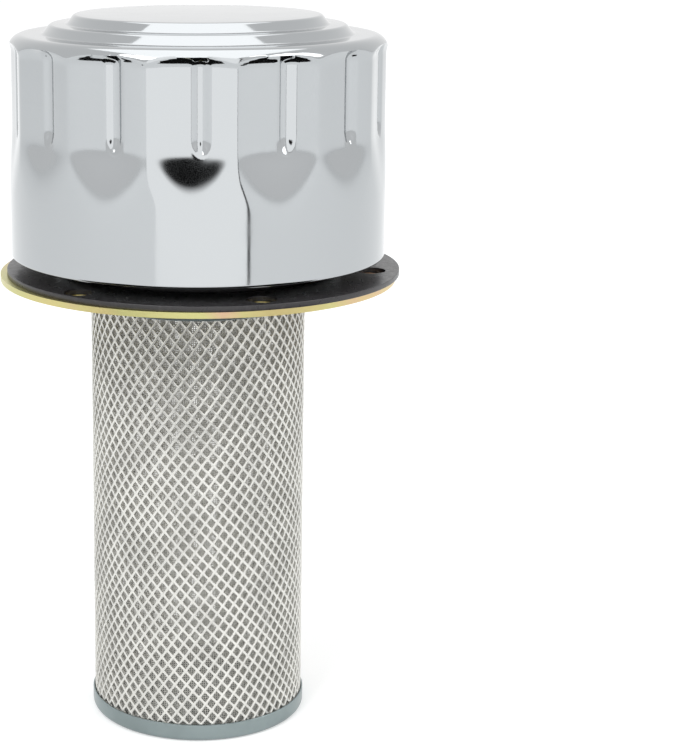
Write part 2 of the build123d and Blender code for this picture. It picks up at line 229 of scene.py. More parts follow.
def face_outwards(made):
    """Turns the faces of a closed mesh outwards."""
    bpy.context.view_layer.objects.active = made
    bpy.ops.object.mode_set(mode="EDIT")
    bpy.ops.mesh.select_all(action="SELECT")
    bpy.ops.mesh.normals_make_consistent(inside=False)
    bpy.ops.object.mode_set(mode="OBJECT")


def turned_piece(name, profile, segments, node, material):
    """Makes a piece from a closed profile turned about the Z axis."""
    points, faces = lathe(profile, segments)
    face_outwards(piece(name, points, faces, node, material))


def smooth_min(a, b, reach):
    """The smaller of a and b, with the corner between them rounded."""
    share = min(max(0.5 + 0.5 * (b - a) / reach, 0.0), 1.0)
    return b + (a - b) * share - reach * share * (1 - share)


def stamped_plate(name, outline, holes, centre, low, high, edge):
    """Flat round plate from filled circles: outline and holes are (x, y, radius), with rounded edges."""
    curve = bpy.data.curves.new(name, "CURVE")
    curve.dimensions = "2D"
    curve.fill_mode = "BOTH"
    curve.resolution_u = 24
    curve.extrude = (high - low) / 2 - edge
    curve.bevel_depth = edge
    curve.bevel_resolution = 3
    curve.offset = -edge
    for x, y, radius in [outline, *holes]:
        spline = curve.splines.new("BEZIER")
        spline.bezier_points.add(3)
        spline.use_cyclic_u = True
        # Handles of this length bend four Bezier stretches into a circle.
        reach = radius * 4 / 3 * math.tan(math.pi / 8)
        for k, point in enumerate(spline.bezier_points):
            along = Vector((math.cos(k * math.pi / 2), math.sin(k * math.pi / 2), 0))
            across = Vector((-along.y, along.x, 0))
            point.co = Vector((centre[0] + x, centre[1] + y, 0)) + along * radius
            point.handle_left = point.co - across * reach
            point.handle_right = point.co + across * reach
    holder = bpy.data.objects.new(name, curve)
    bpy.context.scene.collection.objects.link(holder)
    mesh = bpy.data.meshes.new_from_object(holder.evaluated_get(bpy.context.evaluated_depsgraph_get()))
    bpy.data.objects.remove(holder)
    points = [(v.co.x, v.co.y, v.co.z + (low + high) / 2) for v in mesh.vertices]
    faces = [tuple(p.vertices) for p in mesh.polygons]
    bpy.data.meshes.remove(mesh)
    return points, faces


# ---------------------------------------------------------------- materials

def link_inputs(tree, node, links):
    """Links a node's inputs to the given sockets, or to the first output of the given nodes."""
    for key, source in links.items():
        tree.links.new(getattr(source, "outputs", [source])[0], node.inputs[key])


def add_node(tree, kind, settings=None, links=None):
    """Adds a node, sets its attributes or its inputs' values, and links its inputs."""
    node = tree.nodes.new(kind)
    for key, value in (settings or {}).items():
        if isinstance(key, int) or key in node.inputs:
            node.inputs[key].default_value = value
        else:
            setattr(node, key, value)
    link_inputs(tree, node, links or {})
    return node


def new_material(name, settings):
    """A material with one Principled shader. Returns it, its tree, the shader and object coordinates."""
    material = bpy.data.materials.new(name)
    material.use_nodes = True
    tree = material.node_tree
    tree.nodes.clear()
    shader = add_node(tree, "ShaderNodeBsdfPrincipled", settings)
    add_node(tree, "ShaderNodeOutputMaterial", links={"Surface": shader})
    place = add_node(tree, "ShaderNodeTexCoord").outputs["Object"]
    return material, tree, shader, place


def spans(start, end, low=0.0, high=1.0):
    """Settings of a Map Range node that takes start..end to low..high."""
    return {"From Min": start, "From Max": end, "To Min": low, "To Max": high}


def grains(size, detail):
    """Settings of a noise whose features are about size metres across."""
    return {"Scale": 1 / size, "Detail": detail}


def two_colours(first, second):
    """Settings of a Mix node that goes from one colour to another."""
    return {"data_type": "RGBA", MIX_A: (*first, 1), MIX_B: (*second, 1)}


def chrome_plate(colour):
    """Bright chrome plate over drawn steel: mirror-like, with the faint waviness of the drawn sheet
    (about 6 mm) and a light haze of wiping marks."""
    material, tree, shader, place = new_material(
        "chrome_plate_on_drawn_steel", {"Base Color": (*colour, 1), "Metallic": 1.0, "Roughness": 0.08})
    marks = add_node(tree, "ShaderNodeTexNoise", grains(9 * MM, 4.0), {"Vector": place})
    haze = add_node(tree, "ShaderNodeMapRange", spans(0.35, 0.7, 0.06, 0.105), {"Value": marks})
    wave = add_node(tree, "ShaderNodeTexNoise", grains(6 * MM, 1.0), {"Vector": place})
    relief = add_node(tree, "ShaderNodeBump", {"Distance": 0.012 * MM}, {"Height": wave})
    link_inputs(tree, shader, {"Roughness": haze, "Normal": relief})
    return material


def yellow_zinc(colour):
    """Yellow chromated zinc plate: satin steel with an oil-film shift from gold to green and pink."""
    material, tree, shader, place = new_material(
        "yellow_chromated_zinc_plate", {"Base Color": (*colour, 1), "Metallic": 1.0, "Roughness": 0.32})
    drift = add_node(tree, "ShaderNodeTexNoise", grains(30 * MM, 2.0), {"Vector": place})
    gold_share = add_node(tree, "ShaderNodeMapRange", spans(0.42, 0.6), {"Value": drift})
    gold = add_node(tree, "ShaderNodeMix", two_colours(linear("#C3BF83"), colour), {0: gold_share})
    bloom = add_node(tree, "ShaderNodeTexNoise", grains(22 * MM, 3.0), {"Vector": place})
    pink_share = add_node(tree, "ShaderNodeMapRange", spans(0.52, 0.66, 0.0, 0.8), {"Value": bloom})
    tint = add_node(tree, "ShaderNodeMix", two_colours(colour, linear("#CFA792")),
                    {0: pink_share, MIX_A: gold.outputs[MIX_OUT]})
    grain = add_node(tree, "ShaderNodeTexNoise", grains(0.5 * MM, 3.0), {"Vector": place})
    satin = add_node(tree, "ShaderNodeMapRange", spans(0.0, 1.0, 0.26, 0.4), {"Value": grain})
    relief = add_node(tree, "ShaderNodeBump", {"Distance": 0.006 * MM}, {"Height": grain})
    link_inputs(tree, shader, {"Base Color": tint.outputs[MIX_OUT], "Roughness": satin, "Normal": relief})
    return material


def nitrile_rubber(name, colour, roughness):
    """Nitrile rubber, calendered or moulded: near-black, with a soft sheen and dust in its grain."""
    material, tree, shader, place = new_material(
        name, {"Base Color": (*colour, 1), "Roughness": roughness, "IOR": 1.52})
    dust = add_node(tree, "ShaderNodeTexNoise", grains(1.2 * MM, 5.0), {"Vector": place})
    dust_share = add_node(tree, "ShaderNodeMapRange", spans(0.55, 0.8, 0.0, 0.5), {"Value": dust})
    tint = add_node(tree, "ShaderNodeMix", two_colours(colour, linear("#4A4648")), {0: dust_share})
    sheen = add_node(tree, "ShaderNodeMapRange", spans(0.3, 0.8, roughness - 0.05, roughness + 0.12),
                     {"Value": dust})
    grain = add_node(tree, "ShaderNodeTexNoise", grains(0.6 * MM, 3.0), {"Vector": place})
    relief = add_node(tree, "ShaderNodeBump", {"Distance": 0.01 * MM}, {"Height": grain})
    link_inputs(tree, shader, {"Base Color": tint.outputs[MIX_OUT], "Roughness": sheen, "Normal": relief})
    return material


def plated_steel(name, colour, roughness, grain_size=0.4 * MM, stretch=(1, 1, 1), depth=0.004 * MM,
                 metal=1.0):
    """Zinc-plated or oiled sheet steel: satin metal with fine grain, drawn out by stretch where it was
    rolled, and slow changes of tone."""
    material, tree, shader, place = new_material(
        name, {"Base Color": (*colour, 1), "Metallic": metal, "Roughness": roughness})
    tone = add_node(tree, "ShaderNodeTexNoise", grains(8 * MM, 3.0), {"Vector": place})
    dark_share = add_node(tree, "ShaderNodeMapRange", spans(0.4, 0.65), {"Value": tone})
    darker = [channel * 0.86 for channel in colour]
    tint = add_node(tree, "ShaderNodeMix", two_colours(colour, darker), {0: dark_share})
    drawn = add_node(tree, "ShaderNodeMapping", {"Scale": stretch}, {"Vector": place})
    grain = add_node(tree, "ShaderNodeTexNoise", grains(grain_size, 3.0), {"Vector": drawn})
    satin = add_node(tree, "ShaderNodeMapRange", spans(0.0, 1.0, roughness - 0.06, roughness + 0.08),
                     {"Value": grain})
    relief = add_node(tree, "ShaderNodeBump", {"Distance": depth}, {"Height": grain})
    link_inputs(tree, shader, {"Base Color": tint.outputs[MIX_OUT], "Roughness": satin, "Normal": relief})
    return material


def filter_paper():
    """Resin-treated filter paper: matt fibre with faint mottling."""
    cream = linear("#D9CDA6")
    material, tree, shader, place = new_material(
        "resin_treated_filter_paper", {"Base Color": (*cream, 1), "Roughness": 0.85})
    fibre = add_node(tree, "ShaderNodeTexNoise", grains(0.5 * MM, 4.0), {"Vector": place})
    mottling = add_node(tree, "ShaderNodeMapRange", spans(0.35, 0.7), {"Value": fibre})
    tint = add_node(tree, "ShaderNodeMix", two_colours(cream, linear("#C2B28A")), {0: mottling})
    relief = add_node(tree, "ShaderNodeBump", {"Distance": 0.05 * MM}, {"Height": fibre})
    link_inputs(tree, shader, {"Base Color": tint.outputs[MIX_OUT], "Normal": relief})
    return material


def wire_cloth(colour, pitch):
    """Plain-woven steel wire cloth: bright rounded wires with open squares between them. The wires are
    drawn at their real spacing from the sheet's own unrolled coordinates, which are in metres."""
    material, tree, shader, place = new_material(
        "woven_steel_wire_cloth", {"Base Color": (*colour, 1), "Metallic": 0.2, "Roughness": 0.42})
    flat = add_node(tree, "ShaderNodeUVMap", {"uv_map": "flat"})
    parts = add_node(tree, "ShaderNodeSeparateXYZ", links={0: flat})
    waves = []
    for axis in (0, 1):
        turns = add_node(tree, "ShaderNodeMath", {"operation": "MULTIPLY", 1: math.pi / pitch},
                         {0: parts.outputs[axis]})
        sine = add_node(tree, "ShaderNodeMath", {"operation": "SINE"}, {0: turns})
        waves.append(add_node(tree, "ShaderNodeMath", {"operation": "ABSOLUTE"}, {0: sine}))
    # A wire lies where its wave is near zero, so the lower of the two waves shows the nearer wire.
    wires = add_node(tree, "ShaderNodeMath", {"operation": "MINIMUM"}, {0: waves[0], 1: waves[1]})
    solid = add_node(tree, "ShaderNodeMapRange", spans(0.62, 0.74, 1.0, 0.0), {"Value": wires})
    crown = add_node(tree, "ShaderNodeMapRange", spans(0.0, 0.6, 1.0, 0.0), {"Value": wires})
    relief = add_node(tree, "ShaderNodeBump", {"Distance": 0.08 * MM}, {"Height": crown})
    tone = add_node(tree, "ShaderNodeTexNoise", grains(1.5 * MM, 3.0), {"Vector": place})
    darker = [channel * 0.85 for channel in colour]
    tint = add_node(tree, "ShaderNodeMix", two_colours(colour, darker), {0: tone})
    link_inputs(tree, shader, {"Base Color": tint.outputs[MIX_OUT], "Alpha": solid, "Normal": relief})
    return material


def finish_node(name, material):
    """Gives a CAD node that shows as it is its material."""
    node = frame["nodes"][name]
    node.data.materials.clear()
    node.data.materials.append(material)


# ---------------------------------------------------------------- cap shell

class FluteForm:
    """Radius of the cap's wall at an angle and a height."""

    FLOOR_SHARE = 0.98              # the flutes' floors lie about this far out, as a share of the radius
    TROUGH = 3.0 * MM               # rounding where the two flanks of a flute meet
    TOP_ROUND = 2.2 * MM            # round end at a flute's top
    TOP_STEEPNESS = 4.0             # how fast the flanks leave the wall above that
    RUN_OUT_SLOPE = 0.082           # half the slope of the long ramp below a flute
    RUN_OUT_SOFTNESS = 1.5 * MM     # how gently that ramp starts
    RUN_OUT_START = 8.0 * MM        # this far above its foot the ramp's soft start is left out
    GROOVE_DROP = 1.6 * MM          # the groove's round end starts this far below the flute's top
    GROOVE_STRETCH = 0.5            # its lower end is drawn out to twice its radius
    GROOVE_RELIEF = 0.6 * MM        # depth that the groove keeps below the flanks as it runs out
    GROOVE_BLEND = 0.3 * MM         # rounding between the groove and the flanks
    WALL_LIFT = 0.08 * MM           # keeps the plain wall at its radius beside the rounded edges
    EDGE_BLEND = 1.0 * MM           # rounding between the flutes and the plain wall
    TOP_CRISPNESS = 0.65            # share of that rounding which a flute's top loses
    CRISP_RISE = 1.0 * MM           # height over which it loses it

    def __init__(self, cap):
        low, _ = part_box("cap_shell")
        self.radius = node_radius("cap_shell")
        self.pitch = TAU / cap.flutes
        self.phase = cap.phase
        self.groove_turn = cap.groove_turn
        self.flank_floor = self.radius - cap.flank_depth
        self.groove_floor = self.radius - cap.groove_depth
        self.groove_radius = cap.groove_radius
        half = self.radius * math.sin(self.pitch / 2)
        edge = self.radius * math.cos(self.pitch / 2)
        self.slope = (edge - self.flank_floor) / half
        self.top = low.z + cap.flute_top
        self.foot = low.z + cap.flute_foot
        self.groove_foot = low.z + cap.groove_foot

    def at(self, angle, z):
        """Radius at an angle about the Z axis and a height."""
        offset = (angle - self.phase + self.pitch / 2) % self.pitch - self.pitch / 2
        across = self.radius * self.FLOOR_SHARE * math.tan(offset)
        rise = self.end_rise(z)
        flank = self.flank_floor + self.slope * math.hypot(across, self.TROUGH) + rise
        from_groove = across - self.groove_turn * self.radius
        above = z - self.top + self.GROOVE_DROP
        below = self.GROOVE_STRETCH * (self.groove_foot + 2 * self.groove_radius - z)
        past = max(above, below, 0.0)
        inside = self.groove_radius**2 - from_groove**2 - past**2
        # The groove's floor follows the flank as it runs out, so that both ends stay round and shallow.
        floor = max(self.groove_floor, self.flank_floor + rise - self.GROOVE_RELIEF)
        groove = floor + self.groove_radius - math.sqrt(max(inside, 0.0))
        form = smooth_min(flank, groove, self.GROOVE_BLEND) / math.cos(offset)
        crisp = min(max((z - self.top + self.TOP_ROUND) / self.CRISP_RISE, 0.0), 1.0)
        blend = self.EDGE_BLEND * (1.0 - self.TOP_CRISPNESS * crisp)
        return smooth_min(self.radius + self.WALL_LIFT, form, blend)

    def end_rise(self, z):
        """How far the flanks come out again at the ends of a flute: a round end at the top, and below a
        long ramp with a soft start."""
        over = z - self.top + self.TOP_ROUND
        if over > 0:
            share = min(over / self.TOP_ROUND, 1.0)
            beyond = max(z - self.top, 0.0)
            return self.TOP_ROUND * (1 - math.sqrt(1 - share**2)) + beyond * self.TOP_STEEPNESS
        past = self.foot - z
        if past < -self.RUN_OUT_START:
            return 0.0
        return self.RUN_OUT_SLOPE * (past + math.hypot(past, self.RUN_OUT_SOFTNESS))


# The cap's sheet, apart from what its settings hold.
RIM_EDGE = 0.6 * MM         # height of the wall's first row
PLAIN_SKIRT = 14.0 * MM     # the wall is plain up to here, so it needs few rows
THINNING = 0.25 * MM        # the sheet is drawn this much thinner over each step than on the wall
LEAN = 1.5 * MM             # how far a step's riser leans in
STEP_INSET = 0.54           # a leaning riser's foot moves in by this share of the sheet's thickness
STEP_ROUND = 1.0 * MM       # rounding at the foot and the edge of a riser
STEP_GAP = 0.9 * MM         # where the shoulder ends before a riser's rounding
DISC_GAP = 0.6 * MM         # where the disc starts inside the upper riser's rounding
CROWN = 0.15 * MM           # how much the disc bulges
CROWN_STEPS = 8


def cap_profile(cap, inset, fine):
    """The cap's section from the skirt's rim to the middle of its top, moved in by inset.
    Points are (radius, z, on the wall)."""
    low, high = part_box("cap_shell")
    radius = node_radius("cap_shell") - inset
    riser = cap.riser if inset else cap.riser - THINNING
    shoulder = high.z - 2 * cap.riser - inset
    lower = cap.lower_step - STEP_INSET * inset
    upper = cap.upper_step - STEP_INSET * inset
    corner = cap.corner - inset
    rim = [(radius, low.z)]
    if not inset:
        # The cut rim is rounded from below, more gently up the wall than under the sheet.
        rim = [(radius - 0.3 * MM, low.z), (radius - 0.1 * MM, low.z + 0.05 * MM),
               (radius, low.z + 0.22 * MM)]
    wall = line((radius, low.z + RIM_EDGE), (radius, low.z + PLAIN_SKIRT), 4)
    wall += line((radius, low.z + PLAIN_SKIRT), (radius, shoulder - corner), 70 if fine else 16)
    over = arc((radius - corner, shoulder - corner), corner, 0, 90, 12 if fine else 4)
    top = line((radius - corner, shoulder), (lower + STEP_GAP, shoulder), 4)
    for foot, height in ((lower, shoulder), (upper, shoulder + riser)):
        top += rounded_step((foot, height), (foot - LEAN, height + riser), STEP_ROUND, 6 if fine else 2)
    disc = upper - LEAN - DISC_GAP
    level = top[-1][1]
    crown = 0.0 if inset else CROWN
    for i in range(1, CROWN_STEPS):
        share = 1 - i / CROWN_STEPS
        top.append((disc * share, level + crown * (1 - share**2)))
    return [(r, z, True) for r, z in rim + wall + over] + [(r, z, False) for r, z in top]


def rounded_step(foot, head, radius, steps):
    """A sloping riser from foot to head with a rounded hollow at its foot and a rounded edge on top."""
    lean = math.atan2(foot[0] - head[0], head[1] - foot[1])
    turn = math.degrees(math.pi / 2 - lean)
    reach = radius * math.tan(math.radians(turn) / 2)
    hollow = arc((foot[0] + reach, foot[1] + radius), radius, 270, 270 - turn, steps)
    edge = arc((head[0] - reach, head[1] - radius), radius, 90 - turn, 90, steps)
    return hollow + edge + [(head[0] - reach, head[1])]


def cap_mesh(cap):
    """Closed mesh of the cap shell: outer skin, inner skin and the rim between them."""
    form = FluteForm(cap)
    segments = cap.flutes * 32
    flat_radius = node_radius("cap_shell")
    points, faces = [], []
    rows = [(0.0, p) for p in reversed(cap_profile(cap, 0.0, True))]
    rows += [(cap.wall, p) for p in cap_profile(cap, cap.wall, False)]
    for inset, (radius, z, on_wall) in rows:
        for k in range(segments):
            angle = TAU * k / segments
            pressed = flat_radius - form.at(angle, z) if on_wall else 0.0
            r = radius - pressed * min(radius / (flat_radius - inset), 1.0)
            points.append((r * math.cos(angle), r * math.sin(angle), z))
    for i in range(len(rows) - 1):
        for k in range(segments):
            m = (k + 1) % segments
            faces.append((i * segments + k, i * segments + m, (i + 1) * segments + m, (i + 1) * segments + k))
    # A middle point closes the outer disc's crown, and another the flat disc inside.
    for row, rise in ((0, CROWN / CROWN_STEPS**2), (len(rows) - 1, 0.0)):
        centre = len(points)
        points.append((0.0, 0.0, rows[row][1][1] + rise))
        for k in range(segments):
            faces.append((centre, row * segments + k, row * segments + (k + 1) % segments))
    return points, faces


class BREATHER_OT_cap_shell(bpy.types.Operator):
    """Draw the chromed cap shell with its flutes and stepped top"""

    bl_idname = "breather.cap_shell"
    bl_label = "Cap shell"

    def execute(self, context):
        cap = context.scene.breather_cap
        points, faces = cap_mesh(cap)
        chrome = chrome_plate(tuple(cap.colour))
        face_outwards(piece("cap_shell_skin", points, faces, "cap_shell", chrome, 60))
        return {"FINISHED"}


# ---------------------------------------------------------------- flange, gasket and seal

class BREATHER_OT_mounting_flange(bpy.types.Operator):
    """Finish the stamped flange in yellow zinc"""

    bl_idname = "breather.mounting_flange"
    bl_label = "Mounting flange"

    def execute(self, context):
        finish_node("mounting_flange", yellow_zinc(tuple(context.scene.breather_flange.zinc)))
        return {"FINISHED"}


class BREATHER_OT_gasket(bpy.types.Operator):
    """Cut the rubber gasket that lies on the flange"""

    bl_idname = "breather.gasket"
    bl_label = "Gasket"

    def execute(self, context):
        flange = context.scene.breather_flange
        low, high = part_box("gasket")
        centre = ((low.x + high.x) / 2, 0.0)
        outline = (0.0, 0.0, node_radius("gasket"))
        holes = [(0.0, 0.0, flange.gasket_bore)]
        # The gasket lies off centre, but its holes stay over the flange's.
        for k in range(flange.screws):
            angle = flange.screw_phase + TAU * k / flange.screws
            holes.append((flange.screw_circle * math.cos(angle) - centre[0],
                          flange.screw_circle * math.sin(angle), flange.gasket_hole))
        cut_edge = 0.12 * MM
        points, faces = stamped_plate("gasket_sheet", outline, holes, centre, low.z, high.z, cut_edge)
        rubber = nitrile_rubber("die_cut_nitrile_rubber", tuple(flange.rubber), 0.3)
        face_outwards(piece("gasket_sheet", points, faces, "gasket", rubber))
        return {"FINISHED"}


class BREATHER_OT_cap_seal(bpy.types.Operator):
    """Mould the seal ring under the cap"""

    bl_idname = "breather.cap_seal"
    bl_label = "Cap seal"

    def execute(self, context):
        low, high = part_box("cap_seal")
        outer, inner, edge = node_radius("cap_seal"), 23.0 * MM, 0.3 * MM
        section = []
        for start, r, z in ((0, outer - edge, high.z - edge), (90, inner + edge, high.z - edge),
                            (180, inner + edge, low.z + edge), (270, outer - edge, low.z + edge)):
            section += arc((r, z), edge, start, start + 90, 4)
        rubber = nitrile_rubber("moulded_nitrile_rubber", linear("#202022"), 0.5)
        turned_piece("cap_seal_ring", section, 160, "cap_seal", rubber)
        return {"FINISHED"}


# ---------------------------------------------------------------- strainer

def mesh_lattice(strainer, radius, low, high):
    """Cell centres of the mesh as (arc length, z), and the two half diagonals of a cell.
    The rows climb by a whole number of rows in one turn, so that the pattern closes on itself."""
    girth = TAU * radius
    height = strainer.row_pitch
    tilt = math.asin(strainer.skew * height / girth)
    width = girth * math.cos(tilt) / strainer.around
    half_wide = Vector((width / 2 * math.cos(tilt), width / 2 * math.sin(tilt)))
    half_high = Vector((-height / 2 * math.sin(tilt), height / 2 * math.cos(tilt)))
    rows = int((high - low) / height) + strainer.skew + 2
    cells = []
    for row in range(-strainer.skew - 1, rows):
        for shift in (0, 1):
            for column in range(strainer.around):
                cell = half_wide * (2 * column + shift) + half_high * (2 * row + shift)
                if low <= cell.y + low + half_high.y <= high:
                    cells.append((cell.x, cell.y + low + half_high.y))
    return cells, half_wide, half_high


def expanded_metal(strainer):
    """Points and faces of the mesh tube: each cell is a diamond frame with a raised crest."""
    low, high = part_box("strainer_mesh")
    radius = node_radius("strainer_mesh") + 0.2 * MM    # the strands' crests stand out of the plain tube
    thick, crest_rise, shoulder = 0.62 * MM, 0.10 * MM, 0.16 * MM
    tight = 0.93            # the slits' ends are tight, so an opening's corners are filled in a little
    margin = 1.6 * MM       # plain rims at the tube's two ends, inside the collar and the end cap
    cells, wide, tall = mesh_lattice(strainer, radius, low.z + margin, high.z - margin)
    reach = wide.length * tall.length / math.hypot(wide.length, tall.length)
    open_share = 1 - strainer.strand / 2 / reach
    girth = TAU * radius
    same = 0.02 * MM        # points closer than this are one
    points, faces, seen = [], [], {}

    def vertex(place, inward):
        around = round(place.x % girth / same) % round(girth / same)
        key = (around, round(place.y / same), round(inward / same))
        if key not in seen:
            angle = place.x / radius
            r = radius - inward
            seen[key] = len(points)
            points.append((r * math.cos(angle), r * math.sin(angle), place.y))
        return seen[key]

    ring = [wide, (wide + tall) / 2, tall, (tall - wide) / 2]
    ring += [-step for step in ring]
    # Strands that fall to the right lie proud of those that rise, as the slitting tool leaves them.
    crest = [crest_rise * share for share in (0.5, 0.0, 0.5, 1.0)] * 2
    for x, z in cells:
        middle = Vector((x, z))
        loops = []
        for share, inward in ((1.0, None), (open_share, shoulder), (open_share, thick), (1.0, thick)):
            loop = []
            for k, step in enumerate(ring):
                corner = tight if k % 2 == 0 and share < 1 else 1.0
                sink = crest_rise - crest[k] if inward is None else inward
                loop.append(vertex(middle + step * share * corner, sink))
            loops.append(loop)
        for a, b in zip(loops, loops[1:]):
            for k in range(8):
                m = (k + 1) % 8
                faces.append((a[k], a[m], b[m], b[k]))
    return points, faces


class BREATHER_OT_strainer_mesh(bpy.types.Operator):
    """Slit and stretch the strainer's expanded metal tube"""

    bl_idname = "breather.strainer_mesh"
    bl_label = "Strainer mesh"

    def execute(self, context):
        strainer = context.scene.breather_strainer
        points, faces = expanded_metal(strainer)
        steel = plated_steel("galvanised_expanded_steel", tuple(strainer.steel), 0.36, 0.35 * MM, metal=0.6)
        piece("strainer_expanded_mesh", points, faces, "strainer_mesh", steel, 40)
        return {"FINISHED"}


def rolled_cloth(strainer):
    """Points and faces of the rolled cloth with its lap, and each point's place on the flat sheet."""
    low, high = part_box("strainer_liner")
    radius = node_radius("strainer_liner") - 0.1 * MM
    lap = strainer.lap_width / radius
    lap_step = 0.175 * MM       # how far the cloth's inner edge steps in under the outer one
    start = strainer.lap_angle - lap / 2
    turn = TAU + lap
    columns, rows = 240, 40
    points, faces, flat = [], [], []
    for i in range(columns + 1):
        share = i / columns
        angle = start + turn * share
        r = radius - lap_step * max(share * turn - (TAU - lap), 0.0) / lap
        for j in range(rows + 1):
            z = low.z + (high.z - low.z) * j / rows
            points.append((r * math.cos(angle), r * math.sin(angle), z))
            flat.append((radius * turn * share, z))
            if i < columns and j < rows:
                a = i * (rows + 1) + j
                faces.append((a, a + rows + 1, a + rows + 2, a + 1))
    return points, faces, flat


class BREATHER_OT_strainer_liner(bpy.types.Operator):
    """Roll the fine wire cloth inside the mesh and lap its edges"""

    bl_idname = "breather.strainer_liner"
    bl_label = "Wire cloth liner"

    def execute(self, context):
        strainer = context.scene.breather_strainer
        points, faces, flat = rolled_cloth(strainer)
        cloth = wire_cloth(tuple(strainer.cloth), strainer.wire_pitch)
        made = piece("strainer_wire_cloth", points, faces, "strainer_liner", cloth)
        layer = made.data.uv_layers.new(name="flat")
        for loop in made.data.loops:
            layer.data[loop.index].uv = flat[loop.vertex_index]
        return {"FINISHED"}


def end_cap_section(wall):
    """Section of the rolled cup at the tube's foot."""
    low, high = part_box("strainer_end_cap")
    outer, corner = node_radius("strainer_end_cap") + 0.15 * MM, 1.2 * MM
    eye = 0.5 * MM      # the pinhole in the middle of the floor
    section = [(outer - wall, high.z - 0.1 * MM)]
    section += arc((outer - wall / 2, high.z - wall / 2), wall / 2, 180, 0, 6)
    section += line((outer, high.z - wall / 2), (outer, low.z + corner), 4)
    section += arc((outer - corner, low.z + corner), corner, 0, -90, 10)
    section += line((outer - corner, low.z), (eye, low.z), 6)
    section += line((eye, low.z + wall), (outer - corner, low.z + wall), 6)
    section += arc((outer - corner, low.z + corner), corner - wall, -90, 0, 6)
    return section


def collar_section(wall):
    """Section of the collar that hangs the tube from the flange."""
    low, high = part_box("strainer_collar")
    outer, edge, straight = node_radius("strainer_collar"), 0.2 * MM, 1.0 * MM
    lip_r, lip_t = 20.9 * MM, 0.7 * MM
    section = [(lip_r, high.z), (outer - edge, high.z), (outer, high.z - edge)]
    section += line((outer, high.z - straight), (outer, low.z), 3)
    section += arc((outer - wall / 2, low.z + wall / 2), wall / 2, 0, -180, 6)
    section += [(outer - wall, low.z + wall), (outer - wall, high.z - lip_t), (lip_r, high.z - lip_t)]
    return section


class BREATHER_OT_strainer_ends(bpy.types.Operator):
    """Roll the collar and the end cap that hold the tube"""

    bl_idname = "breather.strainer_ends"
    bl_label = "Collar and end cap"

    def execute(self, context):
        colour = tuple(context.scene.breather_strainer.cap_steel)
        steel = plated_steel("blue_zinc_plate_on_rolled_steel", colour, 0.3, 0.8 * MM, (1, 1, 6), 0.003 * MM)
        wall = 0.4 * MM
        turned_piece("strainer_foot_cap", end_cap_section(wall), 256, "strainer_end_cap", steel)
        turned_piece("strainer_neck_collar", collar_section(wall), 192, "strainer_collar", steel)
        return {"FINISHED"}


# ---------------------------------------------------------------- pieces inside the cap

class BREATHER_OT_inner_pieces(bpy.types.Operator):
    """Finish the cup, air element, spring and bayonet inside the cap"""

    bl_idname = "breather.inner_pieces"
    bl_label = "Inner pieces"

    def execute(self, context):
        zinc = plated_steel("clear_zinc_plate_on_pressed_steel", linear("#B4B8BA"), 0.3)
        spring = plated_steel("oiled_spring_steel", linear("#77787C"), 0.35, 0.6 * MM, (1, 8, 8))
        finishes = {
            "inner_cup": zinc,
            "element_bottom_ring": zinc,
            "element_top_plate": zinc,
            "element_core": zinc,
            "bayonet_rivets": zinc,
            "element_pleats": filter_paper(),
            "hold_down_spring": spring,
            "bayonet_plate": spring,
        }
        for name, material in finishes.items():
            finish_node(name, material)
        return {"FINISHED"}


# ---------------------------------------------------------------- studio

# Cards round the breather: name, centre, width and height, turn about Z in degrees, strength, and the
# distance from the middle at which a card starts to fade, where its edge is at 0.5.
UPRIGHT_CARDS = (
    ("front_wall_card", (0.019, -0.45, 0.2), (0.44, 0.6), 0, 1.65, None),
    ("front_right_gap", (0.248, -0.445, 0.2), (0.018, 0.6), 0, 0.03, None),
    ("left_softbox", (-0.95, -0.62, 0.24), (1.2, 0.6), -57, 1.1, 0.0),
    ("right_softbox", (0.85, -0.75, 0.24), (1.1, 0.6), 48, 1.1, 0.0),
    ("camera_body", (-0.02, -0.44, 0.085), (0.13, 0.1), 0, 0.01, 0.3),
)
LEVEL_CARDS = (
    ("table_edge", (0.0, -0.0875, -0.04), (0.24, 0.085), 0, 0.01, None),
    ("overhead_softbox", (0.0, -0.15, 0.95), (0.9, 1.5), 0, 2.15, None),
)
# Square lamps: name, place and power in watts.
LAMPS = (
    ("key_softbox", (-1.5, -1.8, 2.4), 52),
    ("fill_softbox", (2.1, -0.9, 1.8), 28),
)


def studio_card(tilt, name, centre, size, turn, strength, fade):
    """A plain card that only reflections see."""
    bpy.ops.mesh.primitive_plane_add(size=1, location=centre, rotation=(tilt, 0, math.radians(turn)))
    card = bpy.context.object
    card.name = name
    card.scale = (*size, 1)
    material = bpy.data.materials.new(name)
    material.use_nodes = True
    tree = material.node_tree
    tree.nodes.clear()
    glow = add_node(tree, "ShaderNodeEmission", {"Color": WHITE, "Strength": strength})
    surface = glow if fade is None else faded(tree, glow, fade)
    add_node(tree, "ShaderNodeOutputMaterial", links={"Surface": surface})
    card.data.materials.append(material)
    card.visible_camera = False
    card.visible_shadow = False
    card.visible_diffuse = False


def faded(tree, glow, start):
    """A glow that fades out from start to an oval rim, like something out of focus."""
    place = add_node(tree, "ShaderNodeTexCoord").outputs["Object"]
    reach = add_node(tree, "ShaderNodeVectorMath", {"operation": "LENGTH"}, {0: place}).outputs["Value"]
    share = add_node(tree, "ShaderNodeMapRange", spans(start, 0.5), {"Value": reach})
    clear = add_node(tree, "ShaderNodeBsdfTransparent")
    return add_node(tree, "ShaderNodeMixShader", links={0: share, 1: glow, 2: clear})


